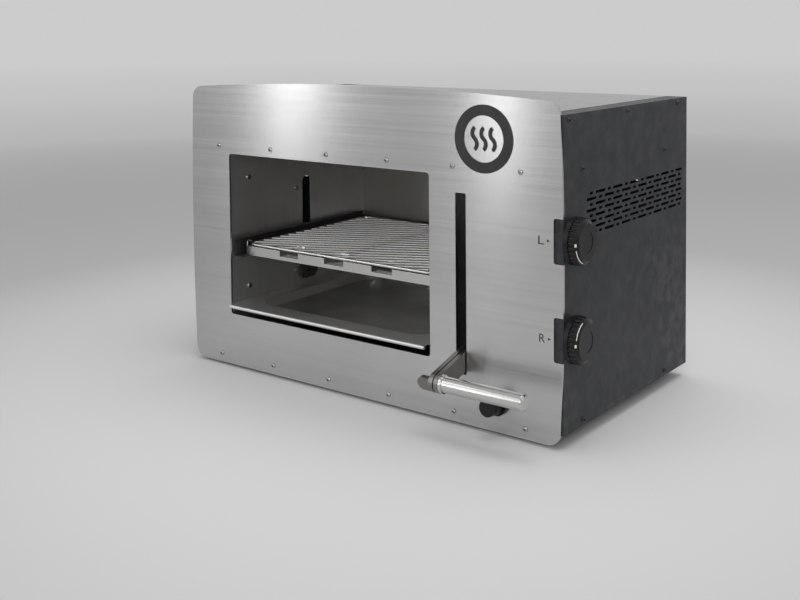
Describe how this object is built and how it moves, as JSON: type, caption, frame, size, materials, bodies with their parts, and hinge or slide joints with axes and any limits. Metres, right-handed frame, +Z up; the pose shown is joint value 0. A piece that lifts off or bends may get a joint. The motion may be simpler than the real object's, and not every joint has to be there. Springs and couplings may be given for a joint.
{
  "type": "infrared gas grill",
  "caption": "Countertop infrared gas grill with an open cooking window, a lever that lifts the rack, a pull-out drip tray, side knobs and a push igniter.",
  "frame": {"origin": "middle of the grill's outline on the surface it stands on", "axes": "+Z up, -Y out of the front plate, +X towards the control knobs"},
  "size_m": [0.6542, 0.435, 0.4215],
  "materials": {
    "stainless": "brushed along its length",
    "screw_steel": "turned",
    "badge_black": "satin",
    "casing_paint": "fine textured powder coat",
    "black_screw": "black oxide",
    "foot_rubber": "matte",
    "liner_steel": "rolled sheet",
    "burner_ceramic": "porous",
    "rack_steel": "electropolished",
    "gas_brass": "turned",
    "gas_pipe": "drawn",
    "white_ceramic": "glazed",
    "knob_plastic": "moulded",
    "wire_rubber": "matte",
    "shaft_steel": "ground",
    "lever_steel": "brushed",
    "handle_steel": "polished",
    "rail_black": "heat resistant black",
    "tray_enamel": "drawn, darkened by heat"
  },
  "bodies": {
    "casing": {"front_plate": "stainless", "front_screws": "screw_steel", "badge": "badge_black", "left_side_panel": "casing_paint", "right_side_panel": "casing_paint", "side_screws": "black_screw", "top_cover": "casing_paint", "back_panel": "casing_paint", "bottom_pan": "casing_paint", "feet": "foot_rubber", "front_rail": "liner_steel", "chamber_left_wall": "liner_steel", "chamber_right_wall": "liner_steel", "chamber_back_wall": "liner_steel", "chamber_screws": "screw_steel", "chamber_brackets": "liner_steel", "tray_rails": "liner_steel", "left_burner_housing": "liner_steel", "right_burner_housing": "liner_steel", "burner_deck": "liner_steel", "burner_tiles": "burner_ceramic", "burner_screens": "rack_steel", "mixing_tubes": "liner_steel", "injectors": "gas_brass", "injector_bracket": "liner_steel", "left_gas_valve": "gas_brass", "right_gas_valve": "gas_brass", "valve_bracket": "liner_steel", "gas_manifold": "gas_brass", "gas_inlet": "gas_brass", "left_gas_pipe": "gas_pipe", "right_gas_pipe": "gas_pipe", "electrodes": "white_ceramic", "igniter_bezel": "knob_plastic", "igniter_body": "knob_plastic", "ignition_wires": "wire_rubber", "shaft_bearings": "gas_brass"},
    "lever": {"lever_left_arm": "lever_steel", "lever_right_arm": "lever_steel", "handle_bar": "handle_steel", "arm_spacers": "shaft_steel", "lift_shaft": "shaft_steel", "link_arm": "lever_steel"},
    "carriage": {"left_rack_rail": "rail_black", "right_rack_rail": "rail_black", "carriage_brackets": "rail_black", "guide_rollers": "gas_brass", "guide_bolts": "black_screw", "drive_pins": "shaft_steel", "rear_crossbar": "rail_black"},
    "rack": {"rack_frame": "rack_steel", "grill_grate": "rack_steel"},
    "tray": {"drip_tray": "tray_enamel"},
    "left_plunger": {"left_spring_seat": "shaft_steel"},
    "left_control": {"left_knob": "knob_plastic", "left_spindle": "shaft_steel"},
    "right_plunger": {"right_spring_seat": "shaft_steel"},
    "right_control": {"right_knob": "knob_plastic", "right_spindle": "shaft_steel"},
    "button": {"igniter_button": "knob_plastic"}
  },
  "joints": [
    {"name": "lever_swing", "type": "hinge", "parent": "casing", "child": "lever", "pos_m": [0.16015, 0.17951, 0.178], "axis": [-1, 0, 0], "range_deg": [0, 32.38]},
    {"name": "carriage_lift", "type": "slide", "parent": "casing", "child": "carriage", "axis": [0, 0, 1], "range_m": [0, 0.09631]},
    {"name": "rack_pull", "type": "slide", "parent": "carriage", "child": "rack", "axis": [0, -1, 0], "range_m": [0, 0.2]},
    {"name": "tray_pull", "type": "slide", "parent": "casing", "child": "tray", "axis": [0, -1, 0], "range_m": [0, 0.23]},
    {"name": "left_knob_push", "type": "slide", "parent": "casing", "child": "left_plunger", "axis": [-1, 0, 0], "range_m": [0, 0.003], "stiffness_N_per_m": 900, "springref_m": -0.002},
    {"name": "left_knob_turn", "type": "hinge", "parent": "left_plunger", "child": "left_control", "pos_m": [0.3085, -0.13849, 0.2478], "axis": [1, 0, 0], "range_deg": [0, 180]},
    {"name": "right_knob_push", "type": "slide", "parent": "casing", "child": "right_plunger", "axis": [-1, 0, 0], "range_m": [0, 0.003], "stiffness_N_per_m": 900, "springref_m": -0.002},
    {"name": "right_knob_turn", "type": "hinge", "parent": "right_plunger", "child": "right_control", "pos_m": [0.3085, -0.13849, 0.1312], "axis": [1, 0, 0], "range_deg": [0, 180]},
    {"name": "igniter_push", "type": "slide", "parent": "casing", "child": "button", "axis": [0, 1, 0], "range_m": [0, 0.005], "stiffness_N_per_m": 900, "springref_m": -0.002}
  ],
  "couplings": [
    {"joint": "carriage_lift", "follows": "lever_swing", "m_per_rad": 0.16954}
  ]
}
